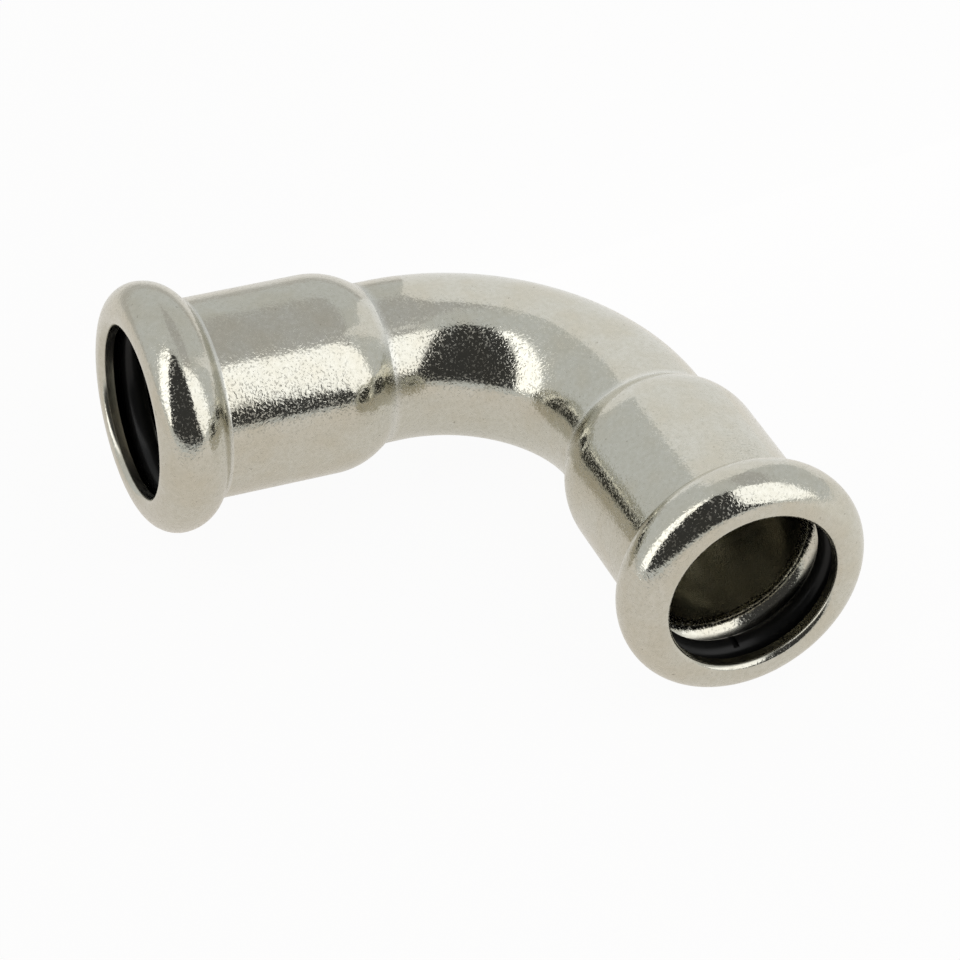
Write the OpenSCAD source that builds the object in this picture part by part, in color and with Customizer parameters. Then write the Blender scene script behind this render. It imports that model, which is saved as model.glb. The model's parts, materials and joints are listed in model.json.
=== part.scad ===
// Right-angle press-fit pipe elbow: one formed steel tube whose two ends are
// widened into sockets, each socket closed by a rolled bead at its mouth, and a
// rubber seal ring loose in the chamber inside each bead.
// Millimetres. The elbow lies as it rests on a table: on both beads and on the
// underside of the bend. One socket opens to -X, the other to -Y, +Z is up.

/* [Pipe and tube] */
// Outside diameter of the pipe that is pushed in, and of the bent tube
pipe_d = 15; // [12:0.5:22]
// Wall of the bent tube and the sockets
wall = 1.5; // [1.2:0.1:1.8]
// Radial gap between the pipe and the socket
pipe_gap = 0.25; // [0.15:0.05:0.5]

/* [Bend] */
// Radius of the bend's centre line
bend_radius = 17.4; // [16:0.2:40]
// Straight tube between the bend and the foot of each shoulder
lead = 1.85; // [0.5:0.05:8]

/* [Sockets] */
// How far the pipe goes in before the shoulder stops it
insertion = 19.8; // [16:0.2:30]
// Angle of the shoulder cone to the pipe axis
shoulder_angle = 32.8; // [31:0.2:40]
// Radius that rounds the shoulder into the socket
shoulder_round = 7.4; // [4:0.1:8]

/* [Beads] */
// Height of the bead's crown above the socket
bead_rise = 2.3; // [2.1:0.05:2.8]
// Wall of the bead, drawn thinner than the tube
bead_wall = 1.3; // [1.1:0.05:1.5]
// Slope of the bead's back face to the pipe axis
bead_slope = 56.5; // [52:0.5:58]
// Radius behind the crown
bead_back_round = 3.9; // [3.6:0.05:4.1]
// Radius in front of the crown, to the mouth
bead_front_round = 2.85; // [2.6:0.05:3.1]
// Fillet at the outside of the neck, behind the bead
neck_round = 0.55; // [0.3:0.05:0.6]
// Rounding at the inside of the neck
neck_inside_round = 1.8; // [1.2:0.1:1.9]
// Radial gap between the pipe and the lip at the mouth
lip_gap = 0.45; // [0.3:0.05:0.5]
// Rounding of the lip's outer edge
lip_round = 0.6; // [0.3:0.05:0.7]

/* [Seal rings] */
// Diameter of a ring's section
seal_section = 2.3; // [2:0.05:2.35]
// Depth of a ring's section centre behind the mouth
seal_depth = 3.4; // [3.1:0.05:3.5]
// Gap between a ring and the back of its chamber
seal_gap = 0.02; // [0.01:0.01:0.05]
// Width of the leak groove across a ring's inside
groove_width = 0.45; // [0.3:0.05:0.8]
// Depth of the leak groove
groove_depth = 0.3; // [0.1:0.05:0.5]
// How far the groove of the left ring is turned from the ring's top
groove_turn_left = 213; // [0:1:359]
// How far the groove of the front ring is turned from the ring's top
groove_turn_front = 182; // [0:1:359]

/* [Hidden] */
$fn = 96;

tube_r = pipe_d / 2;
tube_bore_r = tube_r - wall;
socket_bore_r = tube_r + pipe_gap;
socket_r = socket_bore_r + wall;

// Shoulder, along the axis from the end of the bend
shoulder_cone = (socket_r - tube_r - shoulder_round * (1 - cos(shoulder_angle))) / sin(shoulder_angle);
shoulder_end = lead + shoulder_cone * cos(shoulder_angle) + shoulder_round * sin(shoulder_angle);
shoulder_bore_round = shoulder_round - wall;
stop_turn = acos(1 - pipe_gap / shoulder_bore_round);
pipe_stop = shoulder_end - shoulder_bore_round * sin(stop_turn);

// Mouth and bead
mouth = pipe_stop + insertion;
lip_r = tube_r + lip_gap;
crown_r = socket_r + bead_rise;
crown_at = mouth - bead_front_round;
chamber_r = crown_r - bead_wall;
chamber_back_round = bead_back_round - bead_wall;
chamber_front_round = bead_front_round - bead_wall;

// Centres of the rounds that the inside and the outside share, as radius and axis
shoulder_c = [socket_r - shoulder_round, shoulder_end];
back_c = [crown_r - bead_back_round, crown_at];
front_c = [crown_r - bead_front_round, crown_at];

// How far, and how far round, a round runs into its neighbours
blend = 0.0005;
overlap_turn = 4;

// Where a neck starts that runs up at the bead's slope to a crown of the given radius
function slope_length(rise, crown, neck) =
    (rise - (crown + neck) * (1 - cos(bead_slope))) / sin(bead_slope);
function neck_start(rise, crown, neck) =
    crown_at - (crown + neck) * sin(bead_slope) - slope_length(rise, crown, neck) * cos(bead_slope);
neck_at = neck_start(bead_rise, bead_back_round, neck_round);
chamber_rise = chamber_r - socket_bore_r;
chamber_neck_at = neck_start(chamber_rise, chamber_back_round, neck_inside_round);

// Seal ring, seated against the chamber's back round
seal_at = mouth - seal_depth;
seal_r = crown_r - bead_back_round
    + sqrt(pow(chamber_back_round - seal_section / 2 - seal_gap, 2) - pow(crown_at - seal_at, 2));
seal_inner_r = seal_r - seal_section / 2;

// Tilt that sets both beads and the bend's underside on the table
crown_out = bend_radius + crown_at;
rise_per_tilt = crown_out / sqrt(2) - bend_radius * (sqrt(2) - 1);
bead_ring = crown_r - bead_back_round;
tube_over = tube_r - bead_back_round;
tilt_square = pow(rise_per_tilt, 2) + pow(bead_ring, 2) / 2;
tilt_sine = (sqrt(pow(rise_per_tilt * tube_over, 2) - tilt_square * (pow(tube_over, 2) - pow(bead_ring, 2)))
    - rise_per_tilt * tube_over) / tilt_square;
rest_tilt = asin(tilt_sine);
rest_height = tube_r - bend_radius * (sqrt(2) - 1) * tilt_sine;

// Reach of the beads to the open and the closed side, which sets the middle in X and Y
front_ring = crown_r - bead_front_round;
lean_out = (1 + cos(rest_tilt)) / 2;
lean_side = (1 - cos(rest_tilt)) / 2;
reach_open = crown_out * lean_out + front_ring * sqrt(1 - lean_out * lean_out) + bead_front_round;
reach_closed = crown_out * lean_side + front_ring * sqrt(1 - lean_side * lean_side) + bead_front_round;
middle = (reach_open - reach_closed) / 2;

// Point on a circle, its direction counted from the radius axis
function on(centre, r, turn) = centre + r * [cos(turn), sin(turn)];

// A round: a disc that runs a hair into the lines it blends
module round_at(centre, r) {
    translate(centre)
        circle(r = r + blend);
}

// The part of a round between two directions
module round_sector(centre, r, from, to) {
    intersection() {
        round_at(centre, r);
        polygon([
            centre,
            on(centre, 2 * r, from),
            on(centre, 2 * r, (from + to) / 2),
            on(centre, 2 * r, to)
        ]);
    }
}

// Half section of a socket's outside, radius across and axis up
module socket_outside() {
    neck_c = [socket_r + neck_round, neck_at];
    difference() {
        polygon([
            [tube_bore_r / 2, 0],
            [tube_r, 0],
            [tube_r, lead],
            on(shoulder_c, shoulder_round, -shoulder_angle),
            [socket_r, shoulder_end],
            [socket_r, neck_at],
            on(neck_c, neck_round, 180 - bead_slope),
            on(back_c, bead_back_round, -bead_slope),
            [crown_r, crown_at],
            [front_c[0], mouth],
            [tube_bore_r / 2, mouth]
        ]);
        round_at(neck_c, neck_round);
    }
    round_sector(shoulder_c, shoulder_round, -shoulder_angle - overlap_turn, overlap_turn);
    round_sector(back_c, bead_back_round, -bead_slope - overlap_turn, 0);
    round_sector(front_c, bead_front_round, 0, 90 + overlap_turn);
}

// Half section of the hollow inside a socket, open past both ends
module socket_inside() {
    foot_c = [tube_r, lead];
    neck_c = [socket_bore_r + neck_inside_round, chamber_neck_at];
    lip_c = [lip_r + lip_round, mouth - lip_round];
    difference() {
        polygon([
            [0, -1],
            [tube_bore_r, -1],
            [tube_bore_r, lead],
            on(foot_c, wall, 180 - shoulder_angle),
            on(shoulder_c, shoulder_bore_round, -shoulder_angle),
            [socket_bore_r, shoulder_end],
            [socket_bore_r, chamber_neck_at],
            on(neck_c, neck_inside_round, 180 - bead_slope),
            on(back_c, chamber_back_round, -bead_slope),
            [chamber_r, crown_at],
            [front_c[0], mouth - bead_wall],
            [lip_r, mouth - bead_wall],
            [lip_r, lip_c[1]],
            [lip_c[0], mouth],
            [lip_c[0], mouth + 1],
            [0, mouth + 1]
        ]);
        round_at(foot_c, wall);
        round_at(neck_c, neck_inside_round);
        round_at(lip_c, lip_round);
    }
    round_sector(shoulder_c, shoulder_bore_round, -shoulder_angle - overlap_turn, overlap_turn);
    round_sector(back_c, chamber_back_round, -bead_slope - overlap_turn, 0);
    round_sector(front_c, chamber_front_round, 0, 90 + overlap_turn);
}

// A socket along +Z, starting at the end of the bend
module socket() {
    rotate_extrude()
        difference() {
            socket_outside();
            socket_inside();
        }
}

// The bent tube, from the end of one socket to the other
module bend() {
    translate([bend_radius, bend_radius, 0])
        rotate([0, 0, 180])
            rotate_extrude(angle = 90)
                translate([bend_radius, 0])
                    difference() {
                        circle(r = tube_r);
                        circle(r = tube_bore_r);
                    }
}

// Seal ring about +Z, with one leak groove across its inside
module seal_ring(turn) {
    difference() {
        rotate_extrude()
            translate([seal_r, seal_at])
                circle(d = seal_section);
        rotate([0, 0, turn])
            translate([seal_inner_r - groove_depth, -groove_width / 2, seal_at - seal_section])
                cube([2 * groove_depth, groove_width, 2 * seal_section]);
    }
}

// Socket places before the elbow is set down: each turns +Z out of its mouth
// and the ring's own X axis up
module left_place() {
    translate([bend_radius, 0, 0])
        rotate([0, -90, 180])
            children();
}

module front_place() {
    translate([0, bend_radius, 0])
        rotate([0, -90, -90])
            children();
}

// Sets the elbow down on the table, centred in X and Y
module at_rest() {
    translate([middle, middle, rest_height])
        rotate([0, 0, 180])
            rotate(a = rest_tilt, v = [1, -1, 0])
                children();
}

module elbow_body() {
    color([0.72, 0.70, 0.66])
        at_rest() {
            bend();
            left_place()
                socket();
            front_place()
                socket();
        }
}

module seal_ring_left() {
    color([0.05, 0.05, 0.05])
        at_rest()
            left_place()
                seal_ring(groove_turn_left);
}

module seal_ring_front() {
    color([0.05, 0.05, 0.05])
        at_rest()
            front_place()
                seal_ring(groove_turn_front);
}

elbow_body();
seal_ring_left();
seal_ring_front();
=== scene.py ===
# A right-angle press-fit pipe elbow: one bent metal tube, widened to a socket at
# each end, with a rolled bead at each mouth and a rubber seal ring in each bead.
import json
import math

import bpy
from mathutils import Matrix, Vector


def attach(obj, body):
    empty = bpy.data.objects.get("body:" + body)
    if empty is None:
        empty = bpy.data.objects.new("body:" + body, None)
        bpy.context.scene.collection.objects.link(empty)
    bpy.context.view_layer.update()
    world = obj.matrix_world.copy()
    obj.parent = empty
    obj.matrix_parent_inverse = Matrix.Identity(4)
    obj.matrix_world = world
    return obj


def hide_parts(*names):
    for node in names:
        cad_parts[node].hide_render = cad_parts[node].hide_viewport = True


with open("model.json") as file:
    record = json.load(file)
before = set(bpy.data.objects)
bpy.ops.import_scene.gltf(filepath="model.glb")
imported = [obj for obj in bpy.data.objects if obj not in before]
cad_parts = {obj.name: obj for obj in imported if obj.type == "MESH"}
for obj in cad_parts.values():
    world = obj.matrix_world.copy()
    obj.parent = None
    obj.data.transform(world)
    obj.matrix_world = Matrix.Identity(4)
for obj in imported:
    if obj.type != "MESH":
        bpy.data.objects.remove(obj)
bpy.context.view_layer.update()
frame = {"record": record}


# The elbow body. One length of steel tube, bent to a right angle on a mandrel, its
# ends widened to sockets and rolled over into a bead, then tumbled and plated
# bright. Its wall is one closed outline swept along the bent centre line.
MM = 0.001
pipe_r = 7.5 * MM
wall = 1.5 * MM
pipe_gap = 0.25 * MM
bend_radius = 17.4 * MM
lead = 1.85 * MM
insertion = 19.8 * MM
shoulder_angle = math.radians(32.8)
shoulder_round = 7.4 * MM
foot_round = 0.3 * MM
bead_rise = 2.3 * MM
bead_wall = 1.3 * MM
bead_slope = math.radians(56.5)
bead_back_round = 3.9 * MM
bead_front_round = 2.85 * MM
neck_round = 0.55 * MM
neck_inside_round = 1.8 * MM
lip_r = pipe_r + 0.45 * MM
lip_round = 0.6 * MM
painted_highlight_reach = 0.2 * MM
points_around = 161
weld_distance = 0.002 * MM
sharp_angle = math.radians(50)

tube_bore_r = pipe_r - wall
socket_bore_r = pipe_r + pipe_gap
socket_r = socket_bore_r + wall
shoulder_bore_round = shoulder_round - wall
shoulder_rise = socket_r - pipe_r - shoulder_round * (1 - math.cos(shoulder_angle))
shoulder_cone = shoulder_rise / math.sin(shoulder_angle)
shoulder_end = (lead + shoulder_cone * math.cos(shoulder_angle)
                + shoulder_round * math.sin(shoulder_angle))
stop_turn = math.acos(1 - pipe_gap / shoulder_bore_round)
mouth = shoulder_end - shoulder_bore_round * math.sin(stop_turn) + insertion
crown_r = socket_r + bead_rise
crown_at = mouth - bead_front_round
chamber_r = crown_r - bead_wall
chamber_back_round = bead_back_round - bead_wall
chamber_front_round = bead_front_round - bead_wall


def neck_start(rise, crown, neck):
    """Where a neck starts that runs up at the bead's slope to a round crown."""
    turn = (crown + neck) * (1 - math.cos(bead_slope))
    slope = (rise - turn) / math.sin(bead_slope)
    return crown_at - (crown + neck) * math.sin(bead_slope) - slope * math.cos(bead_slope)


def arc(along, across, r, start, end, steps):
    """Points of a round, its direction counted from straight out, turning to the mouth."""
    points = []
    for step in range(steps + 1):
        turn = math.radians(start + (end - start) * step / steps)
        points.append((along + r * math.sin(turn), across + r * math.cos(turn)))
    return points


def line(start, end, steps):
    """Points between two places, without the ends."""
    return [tuple(a + (b - a) * i / steps for a, b in zip(start, end)) for i in range(1, steps)]


slope_turn = math.degrees(bead_slope)
cone_turn = math.degrees(shoulder_angle)
neck_at = neck_start(bead_rise, bead_back_round, neck_round)
chamber_neck_at = neck_start(chamber_r - socket_bore_r, chamber_back_round, neck_inside_round)
half_bend = bend_radius * math.pi / 4
foot_in = foot_round * math.tan(shoulder_angle / 2)

# Outline of one leg, as distance from the bend's end and radius: out along the
# outside to the mouth, then back along the inside
outside = [(-half_bend + half_bend * i / 28, pipe_r) for i in range(29)]
outside += line((0, pipe_r), (lead - foot_in, pipe_r), 3)
outside += arc(lead - foot_in, pipe_r + foot_round, foot_round, 180, 180 - cone_turn, 6)
outside += arc(shoulder_end, socket_r - shoulder_round, shoulder_round, -cone_turn, 0, 26)
outside += line((shoulder_end, socket_r), (neck_at, socket_r), 8)
outside += arc(neck_at, socket_r + neck_round, neck_round, 180, 180 - slope_turn, 10)
outside += arc(crown_at, crown_r - bead_back_round, bead_back_round, -slope_turn, 0, 24)
outside += arc(crown_at, crown_r - bead_front_round, bead_front_round, 0, 90, 30)[1:]
outside += arc(mouth - lip_round, lip_r + lip_round, lip_round, 90, 135, 6)
inside = arc(mouth - lip_round, lip_r + lip_round, lip_round, 142.5, 180, 5)
inside += [(mouth - bead_wall, lip_r)]
inside += arc(crown_at, crown_r - bead_front_round, chamber_front_round, 90, 0, 14)
inside += arc(crown_at, crown_r - bead_back_round, chamber_back_round, 0, -slope_turn, 14)[1:]
inside += arc(chamber_neck_at, socket_bore_r + neck_inside_round, neck_inside_round,
              180 - slope_turn, 180, 14)
inside += line((chamber_neck_at, socket_bore_r), (shoulder_end, socket_bore_r), 6)
inside += arc(shoulder_end, socket_r - shoulder_round, shoulder_bore_round, 0, -cone_turn, 16)
inside += arc(lead, pipe_r, wall, 180 - cone_turn, 180, 8)
inside += [(-half_bend * i / 20, tube_bore_r) for i in range(21)]

# The whole outline, as distance along the centre line from the middle of the bend, radius
# and a mark: 1 in the two outer corners, which get a painted highlight (a lighter colour
# that paints in a light line) and a rougher finish, 0 where the metal is tumbled, outside
# and in the neck, and -1 on the satin inside
corners = [lead, neck_at + neck_round * math.sin(bead_slope) / 2]
leg = []
for along, r in outside:
    near_corner = min(abs(along - place) for place in corners) < painted_highlight_reach
    painted_highlight_corner = near_corner and r < socket_r + neck_round / 2
    leg.append((half_bend + along, r, 1.0 if painted_highlight_corner else 0.0))
neck_end = chamber_neck_at + neck_inside_round * math.sin(bead_slope)
for along, r in inside:
    in_neck = chamber_neck_at < along < neck_end
    leg.append((half_bend + along, r, 0.0 if in_neck else -1.0))
other_leg = [(-along, r, mark) for along, r, mark in reversed(leg)]
outline = leg + other_leg[1:]

# Where the elbow lies, from the two socket axes of the frame
mounts = {mount["name"]: mount for mount in frame["record"]["mounts"]}
left_axis = Vector(mounts["left_socket"]["axis"]).normalized()
front_axis = Vector(mounts["front_socket"]["axis"]).normalized()
left_point = Vector(mounts["left_socket"]["pos_m"])
front_point = Vector(mounts["front_socket"]["pos_m"])
elbow_up = left_axis.cross(front_axis).normalized()
corner_reach = (left_point - front_point).length / (left_axis - front_axis).length
corner = left_point - left_axis * corner_reach
bend_centre = corner + (left_axis + front_axis) * bend_radius
to_middle = -(left_axis + front_axis).normalized()
to_left = (left_axis - front_axis).normalized()


def rule_tree(name, inputs):
    """An empty geometry node tree with named inputs, and helpers to join its nodes."""
    tree = bpy.data.node_groups.new(name, "GeometryNodeTree")
    tree.interface.new_socket("Geometry", in_out="INPUT", socket_type="NodeSocketGeometry")
    for label, kind in inputs:
        tree.interface.new_socket(label, in_out="INPUT", socket_type="NodeSocket" + kind)
    tree.interface.new_socket("Geometry", in_out="OUTPUT", socket_type="NodeSocketGeometry")
    given = tree.nodes.new("NodeGroupInput").outputs

    def fill(socket, value):
        if isinstance(value, bpy.types.NodeSocket):
            tree.links.new(value, socket)
        else:
            socket.default_value = value

    def math_node(operation, *values):
        node = tree.nodes.new("ShaderNodeMath")
        node.operation = operation
        for socket, value in zip(node.inputs, values):
            fill(socket, value)
        return node.outputs[0]

    def vector_sum(*terms):
        total = None
        for vector, amount in terms:
            scaled = tree.nodes.new("ShaderNodeVectorMath")
            scaled.operation = "SCALE"
            fill(scaled.inputs[0], vector)
            fill(scaled.inputs["Scale"], amount)
            if total is None:
                total = scaled.outputs[0]
                continue
            added = tree.nodes.new("ShaderNodeVectorMath")
            added.operation = "ADD"
            fill(added.inputs[0], total)
            fill(added.inputs[1], scaled.outputs[0])
            total = added.outputs[0]
        return total

    def sheet(rows, columns):
        """A flat sheet of rows and columns, and how far along each a point is, from 0 to 1."""
        node = tree.nodes.new("GeometryNodeMeshGrid")
        node.inputs["Size X"].default_value = 1
        node.inputs["Size Y"].default_value = 1
        fill(node.inputs["Vertices X"], rows)
        fill(node.inputs["Vertices Y"], columns)
        place = tree.nodes.new("ShaderNodeSeparateXYZ")
        tree.links.new(tree.nodes.new("GeometryNodeInputPosition").outputs[0], place.inputs[0])
        along = math_node("ADD", place.outputs[0], 0.5)
        round_it = math_node("ADD", place.outputs[1], 0.5)
        return node.outputs["Mesh"], along, round_it

    def close(mesh, position, material):
        """Moves the sheet's points, welds its seams and ends the tree."""
        moved = tree.nodes.new("GeometryNodeSetPosition")
        fill(moved.inputs["Geometry"], mesh)
        fill(moved.inputs["Position"], position)
        welded = tree.nodes.new("GeometryNodeMergeByDistance")
        fill(welded.inputs["Geometry"], moved.outputs[0])
        welded.inputs["Distance"].default_value = weld_distance
        smooth = tree.nodes.new("GeometryNodeSetShadeSmooth")
        fill(smooth.inputs["Geometry"], welded.outputs[0])
        real = tree.nodes.new("GeometryNodeRealizeInstances")
        fill(real.inputs["Geometry"], smooth.outputs[0])
        dressed = tree.nodes.new("GeometryNodeSetMaterial")
        fill(dressed.inputs["Geometry"], real.outputs[0])
        fill(dressed.inputs["Material"], material)
        end = tree.nodes.new("NodeGroupOutput")
        fill(end.inputs["Geometry"], dressed.outputs[0])

    return tree, given, math_node, vector_sum, sheet, close


def grow(name, tree, points, values):
    """Runs a tree on a set of points and keeps the result as a plain mesh object."""
    seed = bpy.data.meshes.new(name)
    seed.from_pydata(points, [], [])
    piece = bpy.data.objects.new(name, seed)
    bpy.context.scene.collection.objects.link(piece)
    modifier = piece.modifiers.new("shape", "NODES")
    modifier.node_group = tree
    sockets = {item.name: item.identifier for item in tree.interface.items_tree
               if item.in_out == "INPUT"}
    for label, value in values.items():
        modifier[sockets[label]] = value
    evaluated = piece.evaluated_get(bpy.context.evaluated_depsgraph_get())
    baked = bpy.data.meshes.new_from_object(evaluated)
    baked.set_sharp_from_angle(angle=sharp_angle)
    piece.modifiers.clear()
    piece.data = baked
    baked.name = name
    return piece


# Bright nickel over a tumbled surface: a fine grain, coarser pebbles where the ends were
# stretched to sockets, faint warm stains, a few dark pits and a smoother satin inside.
# The helpers below work on the material whose nodes and links were named last
nickel = bpy.data.materials.new("tumbled nickel")
nickel.use_nodes = True
nodes, links = nickel.node_tree.nodes, nickel.node_tree.links
shader = nodes["Principled BSDF"]
shader.inputs["Metallic"].default_value = 1
coordinates = nodes.new("ShaderNodeTexCoord").outputs["Object"]
stretched = nodes.new("ShaderNodeAttribute")
stretched.attribute_name = "stretched"
crease_painted_highlight = nodes.new("ShaderNodeAttribute")
crease_painted_highlight.attribute_name = "crease_painted_highlight"
tumbled = nodes.new("ShaderNodeAttribute")
tumbled.attribute_name = "tumbled"


def speckle(scale, detail, seed):
    """A cloud of spots about one scale-th of a metre across, from 0 to 1."""
    cloud = nodes.new("ShaderNodeTexNoise")
    cloud.noise_dimensions = "4D"
    cloud.inputs["W"].default_value = seed
    cloud.inputs["Scale"].default_value = scale
    cloud.inputs["Detail"].default_value = detail
    links.new(coordinates, cloud.inputs["Vector"])
    return cloud.outputs["Fac"]


def spread(value, low, high, new_low, new_high):
    """The value's part between low and high, stretched to a new range."""
    scaled = nodes.new("ShaderNodeMapRange")
    links.new(value, scaled.inputs["Value"])
    for label, amount in (("From Min", low), ("From Max", high),
                          ("To Min", new_low), ("To Max", new_high)):
        scaled.inputs[label].default_value = amount
    return scaled.outputs["Result"]


def tinted(amount, first, second):
    """A colour between two, by an amount from 0 to 1."""
    blend = nodes.new("ShaderNodeMix")
    blend.data_type = "RGBA"
    links.new(amount, blend.inputs["Factor"])
    for socket, colour in ((blend.inputs[6], first), (blend.inputs[7], second)):
        if isinstance(colour, bpy.types.NodeSocket):
            links.new(colour, socket)
        else:
            socket.default_value = colour
    return blend.outputs[2]


stain = spread(speckle(260, 4, 1.0), 0.44, 0.62, 0, 1)
bloom = spread(speckle(900, 3, 2.0), 0.3, 0.7, 0, 1)
fleck = spread(speckle(2400, 2, 6.0), 0.3, 0.7, 0, 0.6)
pits = spread(speckle(2300, 1, 3.0), 0.72, 0.8, 0, 0.55)
metal_colour = tinted(stain, (0.640, 0.630, 0.560, 1), (0.612, 0.583, 0.490, 1))
metal_colour = tinted(spread(bloom, 0, 1, 0, 0.25), metal_colour, (0.68, 0.675, 0.62, 1))
metal_colour = tinted(fleck, metal_colour, (0.53, 0.515, 0.435, 1))
metal_colour = tinted(pits, metal_colour, (0.20, 0.18, 0.14, 1))
# Painted highlight: the metal colour is lighter in the two outer corners, as a light line
metal_colour = tinted(spread(crease_painted_highlight.outputs["Fac"], 0, 1, 0, 0.6), metal_colour,
                      (0.80, 0.80, 0.76, 1))
links.new(metal_colour, shader.inputs["Base Color"])


def product(first, second):
    """A value multiplied by a second value or a plain number."""
    times = nodes.new("ShaderNodeMath")
    times.operation = "MULTIPLY"
    links.new(first, times.inputs[0])
    if isinstance(second, bpy.types.NodeSocket):
        links.new(second, times.inputs[1])
    else:
        times.inputs[1].default_value = second
    return times.outputs[0]


roughness = spread(bloom, 0, 1, 0.07, 0.12)
dull_specks = product(spread(speckle(5000, 0, 7.0), 0.54, 0.7, 0, 0.25), tumbled.outputs["Fac"])
satin = spread(tumbled.outputs["Fac"], 0, 1, 0.13, 0)
for extra in (product(crease_painted_highlight.outputs["Fac"], 0.2), dull_specks, satin):
    rougher = nodes.new("ShaderNodeMath")
    rougher.operation = "ADD"
    links.new(roughness, rougher.inputs[0])
    links.new(extra, rougher.inputs[1])
    roughness = rougher.outputs[0]
links.new(roughness, shader.inputs["Roughness"])

grain = nodes.new("ShaderNodeBump")
grain.inputs["Distance"].default_value = 0.000005
links.new(tumbled.outputs["Fac"], grain.inputs["Strength"])
links.new(spread(speckle(4700, 0, 4.0), 0.55, 0.75, 0, 1), grain.inputs["Height"])
pebbles = nodes.new("ShaderNodeBump")
pebbles.inputs["Distance"].default_value = 0.000013
pebbled = spread(stretched.outputs["Fac"], 0, 1, 0.3, 1)
links.new(product(pebbled, tumbled.outputs["Fac"]), pebbles.inputs["Strength"])
links.new(speckle(2300, 1.5, 5.0), pebbles.inputs["Height"])
links.new(grain.outputs["Normal"], pebbles.inputs["Normal"])
links.new(pebbles.outputs["Normal"], shader.inputs["Normal"])

body_tree, given, math_node, vector_sum, sheet, close = rule_tree("swept elbow", [
    ("Outline Points", "Int"),
    ("Points Around", "Int"),
    ("Tube Radius", "Float"),
    ("Socket Radius", "Float"),
    ("Bend Radius", "Float"),
    ("Bend Centre", "Vector"),
    ("To Middle", "Vector"),
    ("To Left", "Vector"),
    ("Up", "Vector"),
    ("Metal", "Material"),
])
mesh, along, round_it = sheet(given["Outline Points"], given["Points Around"])
last_point = math_node("SUBTRACT", given["Outline Points"], 1)
sample = body_tree.nodes.new("GeometryNodeSampleIndex")
sample.data_type = "FLOAT_VECTOR"
body_tree.links.new(given["Geometry"], sample.inputs["Geometry"])
body_tree.links.new(body_tree.nodes.new("GeometryNodeInputPosition").outputs[0],
                    sample.inputs["Value"])
body_tree.links.new(math_node("ROUND", math_node("MULTIPLY", along, last_point)),
                    sample.inputs["Index"])
outline_point = body_tree.nodes.new("ShaderNodeSeparateXYZ")
body_tree.links.new(sample.outputs["Value"], outline_point.inputs[0])
path, radius = outline_point.outputs[0], outline_point.outputs[1]
bent = math_node("DIVIDE", path, given["Bend Radius"])
bend_end = math.pi / 4
bent = math_node("MAXIMUM", math_node("MINIMUM", bent, bend_end), -bend_end)
straight = math_node("SUBTRACT", path, math_node("MULTIPLY", bent, given["Bend Radius"]))
turn_cos, turn_sin = math_node("COSINE", bent), math_node("SINE", bent)
outward = vector_sum((given["To Middle"], turn_cos), (given["To Left"], turn_sin))
onward = vector_sum((given["To Left"], turn_cos),
                    (given["To Middle"], math_node("MULTIPLY", turn_sin, -1)))
full_turn = math_node("MULTIPLY", round_it, 2 * math.pi)
across = math_node("MULTIPLY", radius, math_node("COSINE", full_turn))
above = math_node("MULTIPLY", radius, math_node("SINE", full_turn))
widened = math_node("DIVIDE", math_node("SUBTRACT", radius, given["Tube Radius"]),
                    math_node("SUBTRACT", given["Socket Radius"], given["Tube Radius"]))
widened = math_node("MAXIMUM", math_node("MINIMUM", widened, 1), 0)
mark = outline_point.outputs[2]
for label, value in (("stretched", widened), ("crease_painted_highlight", math_node("MAXIMUM", mark, 0)),
                     ("tumbled", math_node("GREATER_THAN", mark, -0.5))):
    marked = body_tree.nodes.new("GeometryNodeStoreNamedAttribute")
    marked.data_type = "FLOAT"
    marked.domain = "POINT"
    marked.inputs["Name"].default_value = label
    body_tree.links.new(mesh, marked.inputs["Geometry"])
    body_tree.links.new(value, marked.inputs["Value"])
    mesh = marked.outputs["Geometry"]
close(mesh, vector_sum(
    (given["Bend Centre"], 1.0),
    (outward, math_node("ADD", given["Bend Radius"], across)),
    (onward, straight),
    (given["Up"], above),
), given["Metal"])

elbow = grow("elbow", body_tree, outline, {
    "Outline Points": len(outline),
    "Points Around": points_around,
    "Tube Radius": pipe_r,
    "Socket Radius": socket_r,
    "Bend Radius": bend_radius,
    "Bend Centre": bend_centre,
    "To Middle": to_middle,
    "To Left": to_left,
    "Up": elbow_up,
    "Metal": nickel,
})
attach(elbow, "root")
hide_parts("elbow_body")


# The seal rings. Each is a moulded rubber ring that lies loose in the chamber inside
# a bead, with one narrow groove across its inside.
seal_section_r = 1.15 * MM
seal_depth = 3.4 * MM
seal_gap = 0.02 * MM
groove_width = 0.45 * MM
groove_depth = 0.3 * MM
groove_turn_left = math.radians(213)
groove_turn_front = math.radians(182)
points_round_ring = 961
points_round_section = 49
seat_reach = chamber_back_round - seal_section_r - seal_gap
seal_r = (crown_r - bead_back_round
          + math.sqrt(seat_reach ** 2 - (seal_depth - bead_front_round) ** 2))

rubber = bpy.data.materials.new("seal rubber")
rubber.use_nodes = True
shader = rubber.node_tree.nodes["Principled BSDF"]
shader.inputs["Base Color"].default_value = (0.012, 0.012, 0.012, 1)
shader.inputs["Roughness"].default_value = 0.3
shader.inputs["Specular IOR Level"].default_value = 0.22

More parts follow.
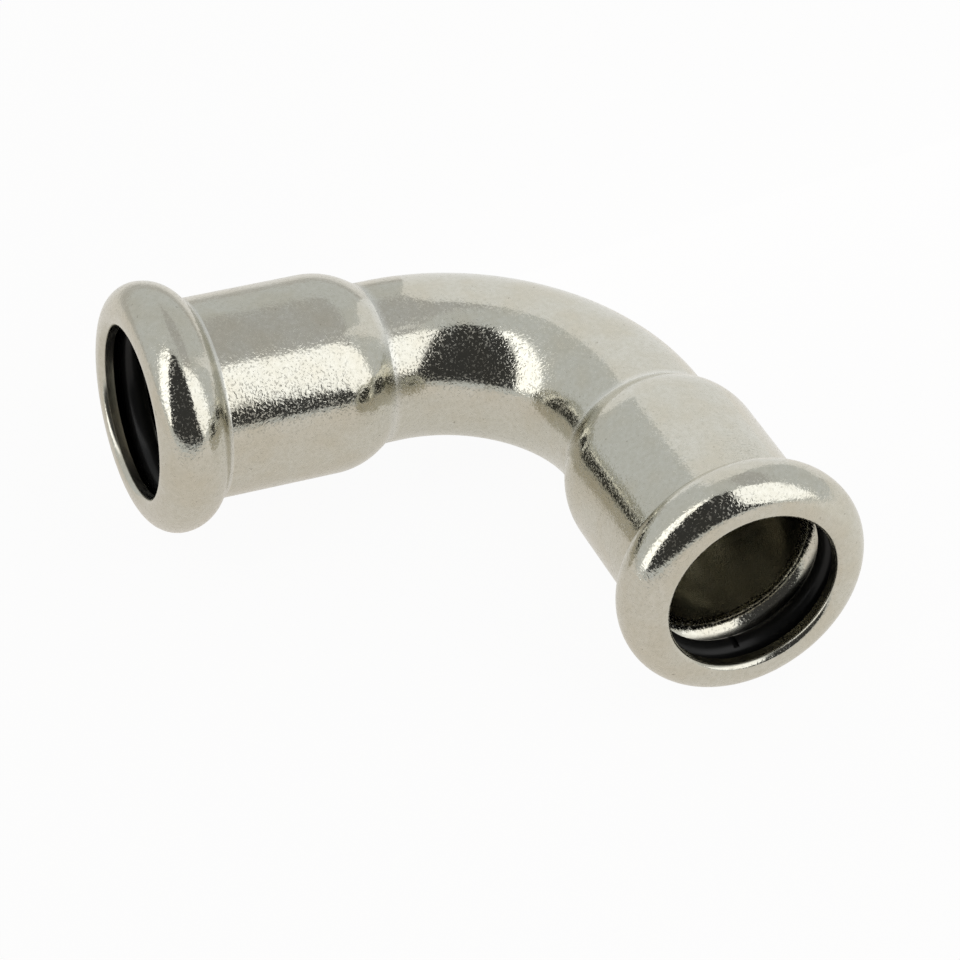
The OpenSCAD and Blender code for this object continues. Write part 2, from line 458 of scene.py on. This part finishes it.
seal_tree, given, math_node, vector_sum, sheet, close = rule_tree("grooved ring", [
    ("Ring Radius", "Float"),
    ("Section Radius", "Float"),
    ("Groove Width", "Float"),
    ("Groove Depth", "Float"),
    ("Centre", "Vector"),
    ("Axis", "Vector"),
    ("To Groove", "Vector"),
    ("Beside Groove", "Vector"),
    ("Rubber", "Material"),
])
mesh, along, round_it = sheet(points_round_ring, points_round_section)
ring_turn = math_node("MULTIPLY", math_node("SUBTRACT", along, 0.5), 2 * math.pi)
section_turn = math_node("MULTIPLY", round_it, 2 * math.pi)
section_out = math_node("MULTIPLY", math_node("COSINE", section_turn), given["Section Radius"])
section_up = math_node("MULTIPLY", math_node("SINE", section_turn), given["Section Radius"])
reach = math_node("ADD", given["Ring Radius"], section_out)
inner = math_node("SUBTRACT", given["Ring Radius"], given["Section Radius"])
from_groove = math_node("MULTIPLY", math_node("ABSOLUTE", ring_turn), inner)
in_groove = math_node("LESS_THAN", from_groove, math_node("MULTIPLY", given["Groove Width"], 0.5))
floor_r = math_node("ADD", inner, math_node("MULTIPLY", given["Groove Depth"], in_groove))
reach = math_node("MAXIMUM", reach, floor_r)
close(mesh, vector_sum(
    (given["Centre"], 1.0),
    (given["Axis"], section_up),
    (given["To Groove"], math_node("MULTIPLY", reach, math_node("COSINE", ring_turn))),
    (given["Beside Groove"], math_node("MULTIPLY", reach, math_node("SINE", ring_turn))),
), given["Rubber"])

for side, axis, turn in (("left", left_axis, groove_turn_left),
                         ("front", front_axis, groove_turn_front)):
    beside = axis.cross(elbow_up)
    to_groove = elbow_up * math.cos(turn) + beside * math.sin(turn)
    ring = grow("rubber_ring_" + side, seal_tree, [], {
        "Ring Radius": seal_r,
        "Section Radius": seal_section_r,
        "Groove Width": groove_width,
        "Groove Depth": groove_depth,
        "Centre": corner + axis * (bend_radius + mouth - seal_depth),
        "Axis": axis,
        "To Groove": to_groove,
        "Beside Groove": axis.cross(to_groove),
        "Rubber": rubber,
    })
    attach(ring, "root")
    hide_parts("seal_ring_" + side)


# The studio: a pale table in a white tent. The tent is open towards the camera, where
# the room is dark, a tall softbox stands on each side of the opening, the cloth at the
# right is in shade, and a white card leans over the bend from behind.
table_half = 3.0
table_white = 0.95
table_glow_in_metal = 0.7
table = bpy.data.meshes.new("table")
table.from_pydata([(-table_half, -table_half, 0), (table_half, -table_half, 0),
                   (table_half, table_half, 0), (-table_half, table_half, 0)], [], [(0, 1, 2, 3)])
table_top = bpy.data.objects.new("table", table)
bpy.context.scene.collection.objects.link(table_top)
table_paint = bpy.data.materials.new("pale table")
table_paint.use_nodes = True
nodes, links = table_paint.node_tree.nodes, table_paint.node_tree.links
paint = nodes["Principled BSDF"]
paint.inputs["Base Color"].default_value = (0.88, 0.83, 0.81, 1)
paint.inputs["Roughness"].default_value = 1
paint.inputs["Specular IOR Level"].default_value = 0
ray = nodes.new("ShaderNodeLightPath")
front_left_shade_ramp = nodes.new("ShaderNodeVectorMath")
front_left_shade_ramp.operation = "DOT_PRODUCT"
front_left_shade_ramp.inputs[1].default_value = (0.8, 0.6, 0)
table_place = nodes.new("ShaderNodeTexCoord").outputs["Object"]
links.new(table_place, front_left_shade_ramp.inputs[0])
back_shade_ramp = nodes.new("ShaderNodeSeparateXYZ")
links.new(table_place, back_shade_ramp.inputs[0])
# Painted shade: the table's glow, as the metal reflects it, is darker and warmer towards the
# front left
paper_and_painted_shade = tinted(spread(front_left_shade_ramp.outputs["Value"], -0.018, 0.022, 0, 1),
               (0.92, 0.872, 0.815, 1), (1, 0.99, 0.96, 1))
# Painted shade: the table's glow, as the metal reflects it, turns grey towards the back
paper_and_painted_shade = tinted(spread(back_shade_ramp.outputs["Y"], 0.08, 0.12, 0, 1), paper_and_painted_shade, (0.6, 0.6, 0.58, 1))
paper_and_painted_shade = tinted(ray.outputs["Is Camera Ray"], paper_and_painted_shade, (1, 1, 1, 1))
white = nodes.new("ShaderNodeEmission")
links.new(paper_and_painted_shade, white.inputs["Color"])
white.inputs["Strength"].default_value = 1
whitened = nodes.new("ShaderNodeMath")
whitened.operation = "MULTIPLY_ADD"
links.new(ray.outputs["Is Camera Ray"], whitened.inputs[0])
whitened.inputs[1].default_value = table_white
mirrored = nodes.new("ShaderNodeMath")
mirrored.operation = "MULTIPLY"
links.new(ray.outputs["Is Glossy Ray"], mirrored.inputs[0])
mirrored.inputs[1].default_value = table_glow_in_metal
links.new(mirrored.outputs[0], whitened.inputs[2])
mixed = nodes.new("ShaderNodeMixShader")
links.new(whitened.outputs[0], mixed.inputs[0])
links.new(paint.outputs[0], mixed.inputs[1])
links.new(white.outputs[0], mixed.inputs[2])
links.new(mixed.outputs[0], nodes["Material Output"].inputs["Surface"])
table.materials.append(table_paint)

tent = bpy.data.worlds.new("white tent")
tent.use_nodes = True
nodes, links = tent.node_tree.nodes, tent.node_tree.links
cloth = nodes["Background"]
cloth.inputs["Color"].default_value = (0.685, 0.70, 0.70, 1)
cloth.inputs["Strength"].default_value = 1
backdrop = nodes.new("ShaderNodeBackground")
backdrop.inputs["Color"].default_value = (1, 1, 1, 1)
backdrop.inputs["Strength"].default_value = 1
ray = nodes.new("ShaderNodeLightPath")
mixed = nodes.new("ShaderNodeMixShader")
links.new(ray.outputs["Is Camera Ray"], mixed.inputs[0])
links.new(cloth.outputs[0], mixed.inputs[1])
links.new(backdrop.outputs[0], mixed.inputs[2])
links.new(mixed.outputs[0], nodes["World Output"].inputs["Surface"])
bpy.context.scene.world = tent
bpy.context.scene.view_settings.view_transform = "Standard"


def far_off(distance, *directions):
    """Places at a distance, their directions in degrees round from the front and up."""
    places = []
    for azimuth, elevation in directions:
        turn, rise = math.radians(azimuth), math.radians(elevation)
        places.append((distance * math.sin(turn) * math.cos(rise),
                       -distance * math.cos(turn) * math.cos(rise),
                       distance * math.sin(rise)))
    return places


def card(name, brightness, places):
    """A glowing card between the given places, which the camera doesn't see."""
    sheet_mesh = bpy.data.meshes.new(name)
    sheet_mesh.from_pydata(places, [], [range(len(places))])
    glow = bpy.data.materials.new(name)
    glow.use_nodes = True
    glow.node_tree.nodes.clear()
    light = glow.node_tree.nodes.new("ShaderNodeEmission")
    light.inputs["Strength"].default_value = brightness
    output = glow.node_tree.nodes.new("ShaderNodeOutputMaterial")
    glow.node_tree.links.new(light.outputs[0], output.inputs["Surface"])
    sheet_mesh.materials.append(glow)
    panel = bpy.data.objects.new(name, sheet_mesh)
    bpy.context.scene.collection.objects.link(panel)
    panel.visible_camera = False
    panel.visible_shadow = False


card("left_softbox", 1.85, far_off(0.9, (-98, 8), (-74, 8), (-96, 79), (-132, 78)))
card("right_softbox", 1.55, far_off(0.25, (28.5, 8.5), (57.5, 8.5), (69, 43), (64, 68),
                                    (50, 75.5), (30, 68), (22.5, 55), (19, 40), (19.2, 28),
                                    (23, 17)))
card("dark_opening", 0.05, far_off(2.0, (-74, 7), (26, 3), (58, 83), (-112, 83)))
card("shaded_side", 0.56, far_off(2.0, (60, 46), (128, 44), (158, 30), (156, 62), (60, 66)))
# The white card leans over the bend from just behind it: its corners as x and height
white_card_foot = 0.0285
white_card_lean = 0.41
white_card_corners = [(0.003, 0), (0.12, 0), (0.12, 0.028), (0.06, 0.0195), (0.03, 0.05),
                      (0.012, 0.048), (0.012, 0.034), (0.014, 0.027), (0.006, 0.0225),
                      (0.003, 0.019)]
card("white_card", 0.95, [(x, white_card_foot - white_card_lean * z, z)
                          for x, z in white_card_corners])


# The camera, a long lens from the front, above and a little to the left.
camera_azimuth = math.radians(-21.386)
camera_elevation = math.radians(47.98)
camera_roll = math.radians(-2.029)
camera_distance = 0.35987
camera_target = Vector((0.00057, -0.00162, 0.00856))
back = Vector((math.sin(camera_azimuth) * math.cos(camera_elevation),
               -math.cos(camera_azimuth) * math.cos(camera_elevation),
               math.sin(camera_elevation)))
level = Vector((0, 0, 1)).cross(back).normalized()
upright = back.cross(level)
right = level * math.cos(camera_roll) + upright * math.sin(camera_roll)
up = upright * math.cos(camera_roll) - level * math.sin(camera_roll)
lens = bpy.data.cameras.new("camera")
lens.lens = 150.81
lens.sensor_width = 36
camera = bpy.data.objects.new("camera", lens)
bpy.context.scene.collection.objects.link(camera)
camera.matrix_world = Matrix.Translation(camera_target + back * camera_distance) @ Matrix(
    (right, up, back)).transposed().to_4x4()
bpy.context.scene.camera = camera
